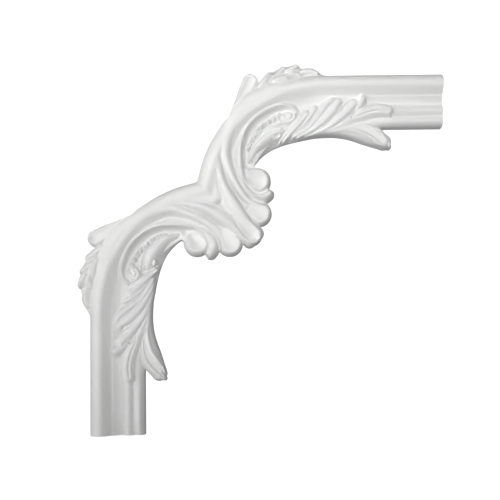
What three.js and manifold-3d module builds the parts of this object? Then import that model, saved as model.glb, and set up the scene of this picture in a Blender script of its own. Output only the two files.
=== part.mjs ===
// Corner ornament for wall and ceiling panel mouldings: one light white casting with a flat back.
//
// The part lies against the wall on the plane Y = 0 and faces -Y. X runs to the right, Z up.
// The origin is on the back, on the corner's line of symmetry. One arm runs right, one runs down.
//
// The casting is symmetric about the corner's diagonal. One half is made, and its mirror is joined on.
// Plan places are in modules, measured from the point where the outer edges of the two straight
// mouldings would cross: the first number along the right arm, the second down the wall.
import * as THREE from "three";
import Module from "manifold-3d";

const wasm = await Module();
wasm.setup();

// Driving dimensions, in millimetres.
const mouldingWidth = 40;
const mouldingDepth = 20;
const plainRun = 38;

// The carving is drawn in modules, 54 to the width of the moulding, and its heights in steps,
// 20 to the depth of the moulding.
const modulesInWidth = 54;
const stepsInDepth = 20;
const unit = mouldingWidth / modulesInWidth;
const step = mouldingDepth / stepsInDepth;

// The corner's own layout, in modules.
const originAlong = 134;
const lastLeafTip = 303;
const armLength = lastLeafTip + plainRun / unit;
const bendRadius = 127.5;
const bendCentre = [232.7, bendRadius];
const bendSweep = THREE.MathUtils.degToRad(75);
const bendSteps = 5;
const tailLength = 48;
const blendRun = 22;
const armShareAtBend = 0.45;
const bendNarrowing = 0.93;
const mitreOverlap = 0.25;
const draft = 0.05;
const dotLength = 0.2;

// The row of beads in the scroll: radii and how each shrinks from the last.
const largestBead = 2.9;
const smallestBead = 1.6;
const beadShrink = 0.93;

// The moulding's section: distance from its outer edge, height on the straight arm, height in the bend.
const section = [
  [0, 8.5, 8.5], [2, 13.6, 13.2], [6, 18.2, 18.2], [11, 20, 20], [16, 17.9, 17.4], [22, 12.8, 13.4],
  [23, 13.2, 13], [31, 9.4, 9.6], [34, 11.8, 9.6], [38.5, 13.8, 10.2], [43, 11, 10.6], [47, 12.9, 9.6],
  [51.5, 11.2, 6], [54, 5.5, 3],
];

// Ring shapes of the carving, from its edge to its middle: share of the half width, share of the rise.
const ridge = [[1, 0], [0.62, 0.68], [0, 1]];
const dish = [[1, 0], [0.78, 1], [0, 0.4]];
const bowl = [[1, 0], [0.78, 1], [0, 0.25]];

/** A point in the part's frame from a plan place in modules and a height in steps. */
function place([along, down], height) {
  return [(along - originAlong) * unit, -height * step, (originAlong - down) * unit];
}

/** A number from an evenly spread list, at a share of the way along it. */
function valueAt(list, share) {
  const reach = share * (list.length - 1);
  const low = Math.min(Math.floor(reach), Math.max(list.length - 2, 0));
  const high = Math.min(low + 1, list.length - 1);
  return list[low] + (list[high] - list[low]) * (reach - low);
}

/** The same solid's triangles, turned where needed so that its faces point out. */
function facingOut(positions, triangles) {
  let volume = 0;
  const corner = (index) => new THREE.Vector3().fromArray(positions, index * 3);
  for (let i = 0; i < triangles.length; i += 3) {
    volume += corner(triangles[i]).dot(corner(triangles[i + 1]).cross(corner(triangles[i + 2])));
  }
  if (volume > 0) {
    return triangles;
  }
  const turned = [];
  for (let i = 0; i < triangles.length; i += 3) {
    turned.push(triangles[i], triangles[i + 2], triangles[i + 1]);
  }
  return turned;
}

/** A closed solid from corner points and triangles. */
function solidFrom(points, triangles) {
  const positions = points.flat();
  const faces = triangles.filter(([a, b, c]) => a !== b && b !== c && c !== a).flat();
  return new wasm.Manifold(new wasm.Mesh({
    numProp: 3,
    vertProperties: new Float32Array(positions),
    triVerts: new Uint32Array(facingOut(positions, faces)),
  }));
}

/** A solid through closed sections with as many points each; the outlines fill its flat ends. */
function loft(sections, firstOutline, lastOutline) {
  const points = sections.flat();
  const count = sections[0].length;
  const triangles = [];
  for (let s = 0; s + 1 < sections.length; s += 1) {
    for (let i = 0; i < count; i += 1) {
      const here = s * count + i;
      const beside = s * count + ((i + 1) % count);
      triangles.push([here, beside, beside + count], [here, beside + count, here + count]);
    }
  }
  const last = (sections.length - 1) * count;
  for (const [a, b, c] of THREE.ShapeUtils.triangulateShape(firstOutline, [])) {
    triangles.push([a, b, c]);
  }
  for (const [a, b, c] of THREE.ShapeUtils.triangulateShape(lastOutline, [])) {
    triangles.push([last + a, last + c, last + b]);
  }
  return solidFrom(points, triangles);
}

/** One cross-section of the moulding at a plan place, square to a direction pointing outward. */
function mouldingSection(outerEdge, outward, armShare) {
  const squeeze = bendNarrowing + (1 - bendNarrowing) * armShare;
  const at = (distance) => outerEdge.map((edge, axis) => edge - outward[axis] * distance * squeeze);
  const points = section.map(([distance, onArm, inBend]) => {
    return place(at(distance), inBend + (onArm - inBend) * armShare);
  });
  return [place(at(0), 0), ...points, place(at(modulesInWidth), 0)];
}

/** The plain moulding of one half: straight arm, bend and the run to the mitre. */
function plainMoulding() {
  const up = [0, -1];
  const sections = [
    mouldingSection([armLength, 0], up, 1),
    mouldingSection([bendCentre[0] + blendRun, 0], up, 1),
  ];
  for (let i = 0; i <= bendSteps; i += 1) {
    const angle = (bendSweep * i) / bendSteps;
    const outward = [-Math.sin(angle), -Math.cos(angle)];
    const edge = [bendCentre[0] + outward[0] * bendRadius, bendCentre[1] + outward[1] * bendRadius];
    sections.push(mouldingSection(edge, outward, i === 0 ? armShareAtBend : 0));
    if (i === bendSteps) {
      const onward = [-Math.cos(angle) * tailLength, Math.sin(angle) * tailLength];
      sections.push(mouldingSection([edge[0] + onward[0], edge[1] + onward[1]], outward, 0));
    }
  }
  const [arm, bend] = [1, 2].map((column) => [
    new THREE.Vector2(0, 0),
    ...section.map((row) => new THREE.Vector2(row[0], row[column])),
    new THREE.Vector2(modulesInWidth, 0),
  ]);
  return loft(sections, arm, bend).intersect(mitreSide());
}

/** The space on one half's side of the diagonal, as a block for cutting. */
function mitreSide() {
  const far = armLength * 2;
  const outline = [
    [-far + mitreOverlap, -far - mitreOverlap], [far, -far], [far - mitreOverlap, far + mitreOverlap],
  ];
  const [behind, beyond] = [-stepsInDepth, stepsInDepth + stepsInDepth];
  const points = [behind, beyond].flatMap((height) => outline.map((at) => place(at, height)));
  const triangles = [
    [0, 1, 2], [3, 5, 4], [0, 3, 1], [1, 3, 4], [1, 4, 2], [2, 4, 5], [2, 5, 0], [0, 5, 3],
  ];
  return solidFrom(points, triangles);
}

/**
 * One carved stroke: a leaf, lobe or ridge that follows a curve through the given plan places.
 * Its half widths, crest heights and edge heights are lists spread evenly along it. It runs down
 * to the back, or with rooted set its edge lies inside the moulding that it stands on.
 */
function stroke({ along, width, crest, edge, form = ridge, rooted = false, pieces, tip = 1, root = 1 }) {
  const curve = new THREE.CatmullRomCurve3(along.map(([x, y]) => new THREE.Vector3(x, y, 0)));
  const count = pieces ?? along.length + 2;
  const stations = Array.from({ length: count }, (_, i) => {
    const share = i / (count - 1);
    const centre = curve.getPointAt(share);
    const onward = curve.getTangentAt(share);
    return { share, centre, onward, half: valueAt(width, share) };
  });
  const outlineAt = (scale, height) => {
    const points = [];
    const add = ({ share, centre, onward, half }, turn) => {
      const across = Math.cos(turn) * half * scale;
      const ahead = Math.sin(turn) * half * scale;
      const [x, y] = [onward.x * ahead - onward.y * across, onward.x * across + onward.y * ahead];
      points.push(place([centre.x + x, centre.y + y], height(share)));
    };
    const roundEnd = (station, from, corners) => {
      for (let i = 1; i <= corners; i += 1) {
        add(station, from + (Math.PI * i) / (corners + 1));
      }
    };
    stations.forEach((station) => add(station, 0));
    roundEnd(stations[count - 1], 0, tip);
    [...stations].reverse().forEach((station) => add(station, Math.PI));
    roundEnd(stations[0], Math.PI, root);
    return points;
  };
  const rise = (share, part) => {
    const low = valueAt(edge, share);
    return low + (valueAt(crest, share) - low) * part;
  };
  const foot = 1 + (draft * valueAt(edge, 0.5)) / Math.max(...width);
  const rings = rooted ? [] : [outlineAt(foot, () => 0)];
  for (const [scale, part] of form) {
    if (scale > 0) {
      rings.push(outlineAt(scale, (share) => rise(share, part)));
    }
  }
  const size = rings[0].length;
  const points = rings.flat();
  const middle = points.length;
  const middlePart = form[form.length - 1][1];
  for (const { share, centre } of stations) {
    points.push(place([centre.x, centre.y], rise(share, middlePart)));
  }
  const middleOf = (i) => {
    if (i < count) {
      return middle + i;
    }
    if (i < count + tip) {
      return middle + count - 1;
    }
    return i < 2 * count + tip ? middle + 2 * count + tip - 1 - i : middle;
  };
  const triangles = [];
  for (let r = 0; r < rings.length; r += 1) {
    for (let i = 0; i < size; i += 1) {
      const next = (i + 1) % size;
      const [a, b] = [r * size + i, r * size + next];
      const [c, d] = r + 1 < rings.length ? [a + size, b + size] : [middleOf(i), middleOf(next)];
      triangles.push([a, b, d], [a, d, c]);
    }
  }
  for (let i = 0; i + 1 < count; i += 1) {
    const back = size - root - 1 - i;
    triangles.push([i, back, i + 1], [i + 1, back, back - 1]);
  }
  for (let i = count - 1; i < count + tip; i += 1) {
    triangles.push([i, count + tip, i + 1]);
  }
  for (let i = size - root - 1; i < size; i += 1) {
    triangles.push([i, 0, (i + 1) % size]);
  }
  return solidFrom(points, triangles);
}

/** The scroll's row of beads, which shrink along its channel. */
function beadRow() {
  const run = new THREE.CatmullRomCurve3(
    [[189.6, 41.8], [179.4, 47.4], [171, 54], [165.8, 61], [162, 67.5], [158.8, 74.4]]
      .map(([x, y]) => new THREE.Vector3(x, y, 0)),
  );
  const beads = [];
  let travelled = 0;
  for (let radius = largestBead; radius > smallestBead; radius *= beadShrink) {
    const { x, y } = run.getPointAt(travelled / run.getLength());
    const crest = 9 + radius * 1.5;
    beads.push({
      along: [[x, y], [x + dotLength, y]],
      width: [radius], crest: [crest], edge: [7], rooted: true, pieces: 2,
    });
    travelled += radius * (1 + beadShrink);
  }
  return beads;
}

/** The shell of folds that runs from the bend into the cusp on the diagonal. */
function shellFolds() {
  return [
    { // upper rim of the trough, ending above the third lobe
      along: [[156.5, 33], [145.5, 45], [138.5, 59], [135.5, 78], [139, 95], [149.2, 115.5], [164, 129.5]],
      width: [1.6, 4, 4.6, 4.6, 4.4, 4, 3.2], crest: [19.5, 20.4, 20.6, 20.4, 19.8, 18, 15.6],
      edge: [14, 9, 7], rooted: true, pieces: 8,
    },
    { // broad fold that becomes the rim of the leaf on the diagonal
      along: [[127, 84], [130, 100], [134, 112], [139, 122], [146, 133], [153, 143], [165.5, 156]],
      width: [2.4, 3.8, 4.4, 4.8, 4.8, 4.4, 3], crest: [19, 19.9, 19.8, 19.2, 18.2, 17, 14.4],
      edge: [14, 8.4, 7], rooted: true, pieces: 8,
    },
    { // ground between the bend's roll and the diagonal
      along: [[121.5, 74], [122.6, 98], [124, 120]],
      width: [4, 7, 6], crest: [19, 18.6, 17.4], edge: [12], rooted: true, pieces: 4,
    },
    { // body beneath the folds
      along: [[135, 94], [141, 112], [149, 130], [158, 145]],
      width: [12, 15, 14, 12], crest: [11, 12, 12, 11], edge: [9, 9, 8, 6],
    },
    { // body beneath the second and third lobes
      along: [[152, 112], [160, 123], [166, 132]],
      width: [6, 9, 8], crest: [9], edge: [6, 5], pieces: 3,
    },
    { // thin fold that ends in the second lobe
      along: [[149.4, 104], [154, 112], [160, 118.4], [167, 122.2], [174, 121.8], [177.6, 119.8]],
      width: [1, 2.2, 3, 4.4, 5.6, 6], crest: [15, 15.6, 15.2, 15, 14.6, 14.4], edge: [6, 6, 5], tip: 3,
    },
  ];
}

/** The lobes along the cusp, from the inner notch to the diagonal. */
function cuspLobes() {
  return [
    {
      along: [[158, 92], [161, 99], [164.6, 103.4], [168, 106]],
      width: [5, 8.5, 11.6, 13.2], crest: [12.5, 13, 14, 14.6], edge: [8, 7, 6, 5], form: bowl, tip: 4,
    },
    {
      along: [[157, 132], [162, 136.4], [165.4, 138], [168.6, 138.8]],
      width: [6, 10, 12, 12.6], crest: [14.5, 14.6, 14.8, 14.8], edge: [10, 8, 6, 5], form: bowl, tip: 4,
    },
    {
      along: [[145, 145], [153, 153], [159, 159], [163, 163]],
      width: [8, 10, 12, 11.6], crest: [16, 15.5, 15, 14.5], edge: [12, 10, 6, 4], form: bowl, tip: 2,
    },
  ];
}

/** The scroll: its band round the channel, the curl at its end and the curled leaf under it. */
function scroll() {
  return [
    {
      along: [
        [157, 112], [150.8, 99], [148.4, 84], [150.6, 66], [160, 48.6], [175, 35.6], [191, 30.8],
        [203, 33.4], [206.4, 42],
      ],
      width: [2.6, 3.4, 4, 4.6, 4.8, 4.8, 4.6, 4, 3],
      crest: [15.6, 16.8, 17.3, 17.4, 17.2, 16.8, 16.4, 15.8, 15], edge: [6.5], rooted: true, pieces: 11,
    },
    {
      along: [[206, 43], [203, 47], [197.6, 47], [196, 43]],
      width: [3.2, 3.4, 3, 2.4], crest: [15.4, 15.6, 15.6, 15.4], edge: [8], rooted: true, pieces: 5,
    },
    {
      along: [[192, 51], [177, 56], [166, 66.6], [160, 80]],
      width: [1, 1.6, 1.4, 1], crest: [12.4, 13, 12.4, 10.5], edge: [7], rooted: true, pieces: 5,
    },
    {
      along: [[161.6, 84], [166, 75], [173, 67.6], [181, 62.6], [188, 61]],
      width: [1.2, 3, 5, 6, 5.6], crest: [10, 12.6, 14, 14.4, 14.4], edge: [6], pieces: 5, tip: 3,
    },
    { // rim along the inner edge
      along: [[161.6, 86], [168, 77], [177, 69.2], [192, 62], [212, 57.4]],
      width: [3.4, 4.6, 6.4, 7.2, 6.6], crest: [6, 7.4, 8.8, 10.6, 11.6], edge: [3], pieces: 6,
    },
  ];
}

/** The spoon-shaped lobe and the spray of small leaves on the outer edge. */
function outerLeaves() {
  const small = [
    [[[179, 9.5], [188, 6.8], [200.6, 5]], 4, 17.4],
    [[[194, 1.6], [203, 0.2], [213.6, 2]], 3.9, 15.6],
    [[[209, -1.4], [219, -2.8], [233, 0.4]], 5, 13.6],
    [[[196, -2.6], [203.5, -6.8], [212, -12.1]], 4.2, 13.2],
    [[[183, 6], [190, -2], [197, -9.6]], 4.4, 13.6],
    [[[168.5, 17.5], [177, 6.4], [183, -4]], 4.8, 14.4],
  ].map(([along, half, crest]) => ({
    along, width: [1.2, half, half * 0.9, 0.5], crest: [crest + 2, crest, crest - 1.5],
    edge: [8, 5, 4], pieces: 3,
  }));
  const body = {
    along: [[165, 21], [178, 9.6], [190, 1.6], [205, -2], [222, 0]],
    width: [6, 8.4, 8.6, 8.4, 6], crest: [9.4], edge: [7],
  };
  const spoon = {
    along: [[138.5, 47], [145, 35.4], [152.4, 23.4], [158, 13], [161.5, 6]],
    width: [1.5, 3.8, 6.2, 7.8, 8.4], crest: [18.6, 18.4, 16.8, 15, 14.4], edge: [12, 11, 8, 6, 4],
    form: bowl, tip: 4,
  };
  return [spoon, body, ...small];
}

/** The spray of leaves that lies along the arm. */
function armSpray() {
  const spray = [
    [[[201, 64], [211, 55], [220, 44], [226.5, 33]], [1.6, 3.4, 3.8, 1], [12, 14.5, 15.8]],
    [[[255, 44], [264, 36], [272, 28], [279, 19]], [1.6, 4.4, 5.2, 1.2], [12.5, 15.6, 17.6]],
    [[[192, 68], [201, 57], [208, 48], [216, 39]], [1.8, 3.6, 4.2, 1.4], [11.5, 14.8, 15.8]],
    [[[203, 63.5], [219, 54], [232, 39], [245, 26.5]], [1.4, 3.2, 4, 3], [12, 15.6, 17.2]],
    [[[208, 63.5], [226, 54], [239, 42], [249.6, 28]], [1.4, 3.8, 5.2, 3.6], [12, 16, 17.4]],
    [[[216, 63], [236, 54.6], [252, 43], [264.6, 30]], [1.4, 3.6, 5.2, 5], [12, 15.8, 17.5]],
    [[[228, 61.5], [257, 51.5], [280, 42.4], [302, 40.5]], [1, 2.4, 4.2, 2], [11.5, 14.5, 15.2]],
    [[[222, 62], [252, 51.5], [276, 36.8], [303, 39]], [1, 2.6, 4.4, 2], [12, 15.6, 16]],
  ].map(([along, width, crest]) => ({
    along, width, crest, edge: [8], rooted: true, pieces: 4,
  }));
  const web = {
    along: [[205, 55], [218, 53.4], [230, 52], [242, 50.6]], width: [3.4, 4.6, 4.4, 3.6], crest: [9.6],
    edge: [8.4], pieces: 4,
  };
  const overhanging = {
    along: [[203, 59.4], [236, 56.6], [256, 55.6], [274, 57.6], [288, 62.4], [lastLeafTip - 3, 73.6]],
    width: [6, 5, 6.4, 8.6, 10.6, 2.6], crest: [10, 12, 14, 14, 13.4, 12.6], edge: [3, 3, 4], form: dish,
  };
  return [web, ...spray, overhanging];
}

/** One half of the corner, up to the diagonal. */
function half() {
  const strokes = [
    ...shellFolds(), ...scroll(), ...cuspLobes(), ...outerLeaves(), ...armSpray(), ...beadRow(),
  ];
  return strokes.reduce((solid, shape) => solid.add(stroke(shape)), plainMoulding());
}

/** The same solid on the other side of the diagonal. */
function mirrored(solid) {
  const { vertProperties, triVerts } = solid.getMesh();
  const points = [];
  for (let i = 0; i < vertProperties.length; i += 3) {
    points.push([-vertProperties[i + 2], vertProperties[i + 1], -vertProperties[i]]);
  }
  const triangles = [];
  for (let i = 0; i < triVerts.length; i += 3) {
    triangles.push([triVerts[i], triVerts[i + 1], triVerts[i + 2]]);
  }
  return solidFrom(points, triangles);
}

const rightHalf = half();
const casting = rightHalf.add(mirrored(rightHalf)).getMesh();
const geometry = new THREE.BufferGeometry();
geometry.setAttribute("position", new THREE.BufferAttribute(new Float32Array(casting.vertProperties), 3));
geometry.setIndex(new THREE.BufferAttribute(new Uint32Array(casting.triVerts), 1));
geometry.computeVertexNormals();

const whiteFinish = new THREE.MeshStandardMaterial({ color: 0xf1f1ef, roughness: 0.62, metalness: 0 });
const corner = new THREE.Mesh(geometry, whiteFinish);
corner.name = "moulding_corner";

const part = new THREE.Group();
part.add(corner);
export default part;
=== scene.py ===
"""The look of a white cast moulding corner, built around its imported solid.

The casting lies against the wall on the plane Y = 0 and faces -Y, with X to the right and Z up.
Its relief is a field of heights over the plan. One half is carved, form by form, and the other
half is its mirror image about the corner's diagonal. Plan places are in modules, 54 to the width
of the moulding, measured from the point where the outer edges of the two straight arms would
cross: the first number along the right arm, the second down the wall. Heights are in steps,
20 to the depth of the moulding.
"""
from __future__ import annotations

import logging
import math
from dataclasses import dataclass, field
from enum import Enum
from typing import Any, Iterator, Sequence

import bpy
import numpy as np
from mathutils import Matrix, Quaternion, Vector
from mathutils.geometry import tessellate_polygon


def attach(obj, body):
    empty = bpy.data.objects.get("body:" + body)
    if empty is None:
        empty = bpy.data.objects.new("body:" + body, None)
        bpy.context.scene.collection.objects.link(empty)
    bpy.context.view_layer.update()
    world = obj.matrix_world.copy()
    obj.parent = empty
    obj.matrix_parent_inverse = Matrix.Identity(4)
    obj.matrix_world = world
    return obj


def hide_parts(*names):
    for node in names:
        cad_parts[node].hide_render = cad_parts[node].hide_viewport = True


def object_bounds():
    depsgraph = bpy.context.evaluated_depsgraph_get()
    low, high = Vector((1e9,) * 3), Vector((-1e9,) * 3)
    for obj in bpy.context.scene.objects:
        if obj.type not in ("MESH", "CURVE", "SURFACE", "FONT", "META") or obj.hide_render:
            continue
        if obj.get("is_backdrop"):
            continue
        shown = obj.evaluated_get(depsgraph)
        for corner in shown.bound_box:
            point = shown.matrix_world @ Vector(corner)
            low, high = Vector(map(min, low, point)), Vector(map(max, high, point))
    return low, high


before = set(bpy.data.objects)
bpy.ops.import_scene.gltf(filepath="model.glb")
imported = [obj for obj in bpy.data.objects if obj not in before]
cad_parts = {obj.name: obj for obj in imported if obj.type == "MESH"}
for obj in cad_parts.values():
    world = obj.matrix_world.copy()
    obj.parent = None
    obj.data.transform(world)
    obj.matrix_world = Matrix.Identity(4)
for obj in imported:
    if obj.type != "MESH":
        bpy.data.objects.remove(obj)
cad_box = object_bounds()
log = logging.getLogger("moulding_corner")

# Carved relief

Plan = tuple[float, float]
Route = Sequence[Plan]
Sizes = Sequence[float]

# The height and the inset of a place where nothing is carved
NOTHING = -40.0

# The smallest share of a cell that the outline may cut off
SLIVER = 0.04


class Section(Enum):
    """The cross-section of a carved form."""

    ROLL = "round and full"
    WAVE = "fades into what it lies on"
    DISH = "a raised rim round a hollow"
    VEINED = "full sides with a sunk vein"

    def rise(self, across: np.ndarray, hollow: float, rim: float, fullness: float) -> np.ndarray:
        """Works out the share of the full height across a form.

        Args:
            across: Shares of the half width, 0 at the middle and 1 at the edge.
            hollow: How deep the dish or the vein is, as a share of the height.
            rim: Where the dish's rim stands, or how wide the vein is, as a share of the half width.
            fullness: The power of the curve from the middle to the edge.

        Returns:
            Shares of the height, 0 at the edge and 1 at the crest.
        """
        if self is Section.WAVE:
            return np.cos(np.pi / 2 * across) ** 2
        if self is Section.DISH:
            inner = 1 - hollow * (1 - np.clip(across / rim, 0, 1) ** 2) ** 1.5
            outer = np.sqrt(np.clip(1 - np.clip((across - rim) / (1 - rim), 0, 1) ** 2, 0, 1))
            return np.where(across < rim, inner, outer)
        full = 1 - across ** fullness
        if self is Section.VEINED:
            return full - hollow * np.exp(-(across / rim) ** 2)
        return full


@dataclass(frozen=True)
class Stroke:
    """A carved form that follows a curve.

    Attributes:
        along: Points that the form's middle line runs through.
        width: Half widths, spread evenly along the form.
        crest: Heights of its middle line.
        edge: Heights of its edges.
        section: Its cross-section.
        right_width: Half widths on the side that faces down the wall, where they differ.
        right_edge: Heights of the edge on that side, where they differ.
        hollow: How deep a dish or vein is, as a share of the height.
        rim: Where a dish's rim stands, or how wide a vein is, as a share of the half width.
        fullness: How full the section is.
        blend: The height over which it melts into its neighbours.
        stands: Whether it is part of the casting's outline.
    """

    along: Route
    width: Sizes
    crest: Sizes
    edge: Sizes = (8.0,)
    section: Section = Section.ROLL
    right_width: Sizes = ()
    right_edge: Sizes = ()
    hollow: float = 0.0
    rim: float = 0.7
    fullness: float = 2.2
    blend: float = 0.7
    stands: bool = False


@dataclass(frozen=True)
class Hollow:
    """A hollow that is cut along a curve.

    Attributes:
        along: Points that its middle line runs through.
        width: Its half widths, spread evenly along it.
        floor: The heights of its bottom.
        bluntness: 2 for a round bottom, more for a flat one with steep sides.
    """

    along: Route
    width: Sizes
    floor: Sizes
    bluntness: float = 2.0


def smooth_curve(points: Route, pieces: int = 10) -> np.ndarray:
    """Runs a smooth curve through a few points.

    Args:
        points: The points it runs through.
        pieces: How many short runs each stretch between two points gets.

    Returns:
        The points of the curve, one a row.
    """
    knots = np.asarray(points, dtype=float)
    knots = np.vstack([2 * knots[0] - knots[1], knots, 2 * knots[-1] - knots[-2]])
    share = np.linspace(0.0, 1.0, pieces, endpoint=False)[:, None]
    runs = []
    for before, start, end, after in zip(knots, knots[1:], knots[2:], knots[3:]):
        runs.append(0.5 * (2 * start + (end - before) * share
                           + (2 * before - 5 * start + 4 * end - after) * share ** 2
                           + (3 * start - before - 3 * end + after) * share ** 3))
    return np.vstack([*runs, knots[-2][None]])


def spread(values: Sizes, share: np.ndarray) -> np.ndarray:
    """Reads evenly spread values at shares of the way along, smoothly.

    Args:
        values: The values from one end to the other.
        share: Shares of the way along, 0 to 1.

    Returns:
        The values there.
    """
    if len(values) < 3:
        return np.interp(share, np.linspace(0, 1, len(values)), values)
    knots = np.linspace(0, 1, len(values))
    curve = smooth_curve(list(zip(knots, values)), 6)
    return np.interp(share, curve[:, 0], curve[:, 1])


def soft_maximum(first: np.ndarray, second: np.ndarray, blend: float) -> np.ndarray:
    """Takes the higher of two surfaces, with a fillet where they meet."""
    near = np.clip(1 - np.abs(first - second) / blend, 0, 1)
    return np.maximum(first, second) + near ** 2 * blend / 4


def blurred(values: np.ndarray, reach: float) -> np.ndarray:
    """Softens a field, as paint does.

    Args:
        values: The field.
        reach: The spread of the softening, in cells.

    Returns:
        The softened field.
    """
    farthest = math.ceil(3 * reach)
    span = np.arange(-farthest, farthest + 1)
    weights = np.exp(-0.5 * (span / reach) ** 2)
    weights /= weights.sum()
    for axis in (0, 1):
        margins = [(farthest, farthest) if other == axis else (0, 0) for other in (0, 1)]
        padded = np.pad(values, margins, "edge")
        values = sum(weight * np.take(padded, np.arange(values.shape[axis]) + step, axis)
                     for step, weight in enumerate(weights))
    return values


@dataclass
class ReliefField:
    """Heights of the casting over its plan, and how far each place lies inside its outline.

    Attributes:
        start: The lowest plan coordinate, the same along and down.
        count: How many grid lines there are each way.
        spacing: The distance between grid lines, in modules.
        skirt_run: How far a form is laid beyond its own edge.
        skirt_slope: How steeply it falls there, in steps a module.
        height: The height at each place of the grid.
        inset: How far each place lies inside the outline, below 0 outside it.
    """

    start: float
    count: int
    spacing: float
    skirt_run: float = 5.0
    skirt_slope: float = 2.4
    height: np.ndarray = field(init=False)
    inset: np.ndarray = field(init=False)

    def __post_init__(self) -> None:
        """Sets out the empty grid."""
        self.lines = self.start + self.spacing * np.arange(self.count)
        self.along, self.down = np.meshgrid(self.lines, self.lines)
        self.height = np.full(self.along.shape, NOTHING)
        self.inset = np.full(self.along.shape, NOTHING)

    def window(self, points: np.ndarray, reach: float) -> tuple[slice, slice]:
        """Finds the part of the grid that some points can touch.

        Args:
            points: The points, one a row.
            reach: How far beyond them the window runs.

        Returns:
            The rows and the columns of the grid.
        """
        limits = (points.min(axis=0) - reach, points.max(axis=0) + reach)
        first, last = np.searchsorted(self.lines, limits)
        return slice(first[1], last[1]), slice(first[0], last[0])

    def follow(self, along: Route,
               reach: float) -> tuple[tuple[slice, slice], np.ndarray, np.ndarray]:
        """Measures the grid against a curve.

        Args:
            along: Points that the curve runs through.
            reach: How far beside the curve to measure.

        Returns:
            The window of the grid, the share of the way along the curve at each of its places, and
            the distance from the curve, positive on the side that lies to its right.
        """
        curve = smooth_curve(along)
        window = self.window(curve, reach)
        x, y = self.along[window], self.down[window]
        runs = np.diff(curve, axis=0)
        lengths = np.hypot(*runs.T)
        travelled = np.concatenate([[0.0], np.cumsum(lengths)])
        nearest = np.full(x.shape, np.inf)
        share, aside = np.zeros(x.shape), np.zeros(x.shape)
        for start, run, length, before in zip(curve, runs, lengths, travelled):
            if length == 0.0:
                continue
            ahead = run / length
            off_x, off_y = x - start[0], y - start[1]
            part = np.clip(off_x * ahead[0] + off_y * ahead[1], 0.0, length)
            distance = np.hypot(off_x - part * ahead[0], off_y - part * ahead[1])
            nearer = distance < nearest
            nearest = np.where(nearer, distance, nearest)
            share = np.where(nearer, (before + part) / travelled[-1], share)
            side = np.where(ahead[0] * off_y < ahead[1] * off_x, -1.0, 1.0)
            aside = np.where(nearer, side * distance, aside)
        return window, share, aside

    def add(self, form: Stroke) -> None:
        """Lays one carved form on the relief.

        Args:
            form: The form to lay.
        """
        reach = max(*form.width, *(form.right_width or form.width)) + self.skirt_run
        window, share, aside = self.follow(form.along, reach)
        on_right = aside > 0
        width, edge = spread(form.width, share), spread(form.edge, share)
        if form.right_width:
            width = np.where(on_right, spread(form.right_width, share), width)
        if form.right_edge:
            edge = np.where(on_right, spread(form.right_edge, share), edge)
        beside = np.abs(aside)
        across = np.clip(beside / np.maximum(width, 1e-6), 0, 1)
        rise = form.section.rise(across, form.hollow, form.rim, form.fullness)
        surface = edge + (spread(form.crest, share) - edge) * rise
        surface -= self.skirt_slope * np.maximum(beside - width, 0)
        self.height[window] = soft_maximum(self.height[window], surface, form.blend)
        if form.stands:
            self.inset[window] = np.maximum(self.inset[window], width - beside)

    def sink(self, hollow: Hollow) -> None:
        """Cuts a hollow into the relief.

        Args:
            hollow: The hollow. It lowers only what stands above its floor.
        """
        window, share, aside = self.follow(hollow.along, max(hollow.width) + 1)
        across = np.clip(np.abs(aside) / spread(hollow.width, share), 0, 1)
        here, bottom = self.height[window], spread(hollow.floor, share)
        surface = bottom + (here - bottom) * across ** hollow.bluntness
        self.height[window] = np.where(here > bottom, surface, here)


@dataclass(frozen=True)
class Outline:
    """The casting's plan, cut out of the relief's grid.

    Attributes:
        places: Plan places of the points, one a row.
        on_rim: Which of the points lie on the outline, where the form ends.
        faces: Triangles of point numbers that cover the plan.
        runs: Pairs of point numbers along the outline.
    """

    places: np.ndarray
    on_rim: np.ndarray
    faces: np.ndarray
    runs: np.ndarray


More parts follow.
